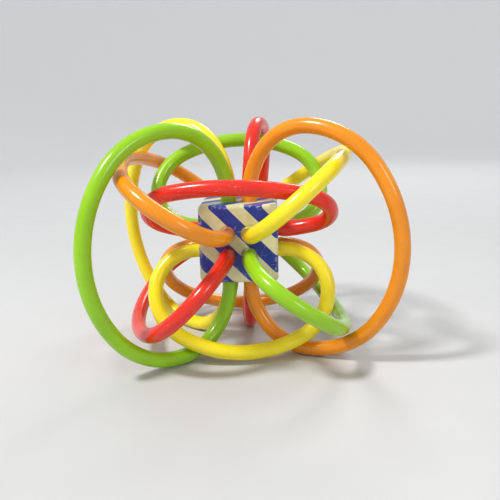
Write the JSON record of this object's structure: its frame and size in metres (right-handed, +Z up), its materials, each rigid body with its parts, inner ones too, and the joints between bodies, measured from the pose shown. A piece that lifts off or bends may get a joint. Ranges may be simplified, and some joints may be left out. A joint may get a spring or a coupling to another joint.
{
  "type": "loop rattle toy",
  "caption": "Small striped hollow cube with soft tube loops through opposite faces, each free to swing, and a bead rattle inside.",
  "frame": {"origin": "on the floor, under the middle of the outer box of the whole toy", "axes": "+Z up, +X to the right and -Y towards a viewer who looks at the face with the cross loops on the left and right"},
  "size_m": [0.1295, 0.1171, 0.1035],
  "materials": {
    "shell": "cream with printed navy diagonal stripes",
    "capsule": "plain moulded",
    "plug": "plain moulded",
    "green_tube": "soft glossy plastic, slightly translucent",
    "green_bead": "hard gloss plastic",
    "orange_tube": "soft glossy plastic, slightly translucent",
    "orange_bead": "hard gloss plastic",
    "yellow_tube": "soft glossy plastic, slightly translucent",
    "yellow_bead": "hard gloss plastic",
    "red_tube": "soft glossy plastic, slightly translucent",
    "red_bead": "hard gloss plastic"
  },
  "bodies": {
    "cube": {"front_shell": "shell", "rear_shell": "shell", "capsule_cup": "capsule", "capsule_lid": "capsule"},
    "bead_1": {"bead_1": "red_bead"},
    "bead_2": {"bead_2": "yellow_bead"},
    "bead_3": {"bead_3": "green_bead"},
    "bead_4": {"bead_4": "orange_bead"},
    "upright_green_loop": {"upright_green_tube": "green_tube", "upright_green_plugs": "plug"},
    "upright_orange_loop": {"upright_orange_tube": "orange_tube", "upright_orange_plugs": "plug"},
    "upright_yellow_loop": {"upright_yellow_tube": "yellow_tube", "upright_yellow_plugs": "plug"},
    "upright_red_loop": {"upright_red_tube": "red_tube", "upright_red_plugs": "plug"},
    "cross_red_loop": {"cross_red_tube": "red_tube", "cross_red_plugs": "plug"},
    "cross_yellow_loop": {"cross_yellow_tube": "yellow_tube", "cross_yellow_plugs": "plug"},
    "cross_green_loop": {"cross_green_tube": "green_tube", "cross_green_plugs": "plug"},
    "cross_orange_loop": {"cross_orange_tube": "orange_tube", "cross_orange_plugs": "plug"},
    "through_orange_loop": {"through_orange_tube": "orange_tube", "through_orange_plugs": "plug"},
    "through_yellow_loop": {"through_yellow_tube": "yellow_tube", "through_yellow_plugs": "plug"},
    "through_red_loop": {"through_red_tube": "red_tube", "through_red_plugs": "plug"},
    "through_green_loop": {"through_green_tube": "green_tube", "through_green_plugs": "plug"}
  },
  "joints": [
    {"name": "upright_green_swing", "type": "hinge", "parent": "cube", "child": "upright_green_loop", "pos_m": [-0.008, -0.0104, 0.05075], "axis": [0, 0, 1], "range_deg": [-3, 0]},
    {"name": "upright_orange_swing", "type": "hinge", "parent": "cube", "child": "upright_orange_loop", "pos_m": [0.0012, -0.0104, 0.05075], "axis": [0, 0, 1], "range_deg": [-3, 7]},
    {"name": "upright_yellow_swing", "type": "hinge", "parent": "cube", "child": "upright_yellow_loop", "pos_m": [-0.008, -0.0012, 0.05075], "axis": [0, 0, 1], "range_deg": [-3, 30]},
    {"name": "upright_red_swing", "type": "hinge", "parent": "cube", "child": "upright_red_loop", "pos_m": [0.0012, -0.0012, 0.05075], "axis": [0, 0, 1], "range_deg": [-1, 5]},
    {"name": "cross_red_swing", "type": "hinge", "parent": "cube", "child": "cross_red_loop", "pos_m": [-0.0034, -0.0104, 0.05535], "axis": [1, 0, 0], "range_deg": [-30, 3]},
    {"name": "cross_yellow_swing", "type": "hinge", "parent": "cube", "child": "cross_yellow_loop", "pos_m": [-0.0034, -0.0104, 0.04615], "axis": [1, 0, 0], "range_deg": [-23, 1]},
    {"name": "cross_green_swing", "type": "hinge", "parent": "cube", "child": "cross_green_loop", "pos_m": [-0.0034, -0.0012, 0.05535], "axis": [1, 0, 0], "range_deg": [-28, 2]},
    {"name": "cross_orange_swing", "type": "hinge", "parent": "cube", "child": "cross_orange_loop", "pos_m": [-0.0034, -0.0012, 0.04615], "axis": [1, 0, 0], "range_deg": [-4, 1]},
    {"name": "through_orange_swing", "type": "hinge", "parent": "cube", "child": "through_orange_loop", "pos_m": [-0.008, -0.0058, 0.05535], "axis": [0, -1, 0], "range_deg": [-4, 30]},
    {"name": "through_yellow_swing", "type": "hinge", "parent": "cube", "child": "through_yellow_loop", "pos_m": [0.0012, -0.0058, 0.05535], "axis": [0, -1, 0], "range_deg": [-30, 3]},
    {"name": "through_red_swing", "type": "hinge", "parent": "cube", "child": "through_red_loop", "pos_m": [-0.008, -0.0058, 0.04615], "axis": [0, -1, 0], "range_deg": [-30, 1]},
    {"name": "through_green_swing", "type": "hinge", "parent": "cube", "child": "through_green_loop", "pos_m": [0.0012, -0.0058, 0.04615], "axis": [0, -1, 0], "range_deg": [-2, 30]},
    {"name": "bead_1_jump", "type": "slide", "parent": "cube", "child": "bead_1", "axis": [0, 0, 1], "range_m": [0, 0.0088]},
    {"name": "bead_2_jump", "type": "slide", "parent": "cube", "child": "bead_2", "axis": [0, 0, 1], "range_m": [0, 0.0088]},
    {"name": "bead_3_jump", "type": "slide", "parent": "cube", "child": "bead_3", "axis": [0, 0, 1], "range_m": [0, 0.0088]},
    {"name": "bead_4_jump", "type": "slide", "parent": "cube", "child": "bead_4", "axis": [0, 0, 1], "range_m": [0, 0.0088]}
  ]
}
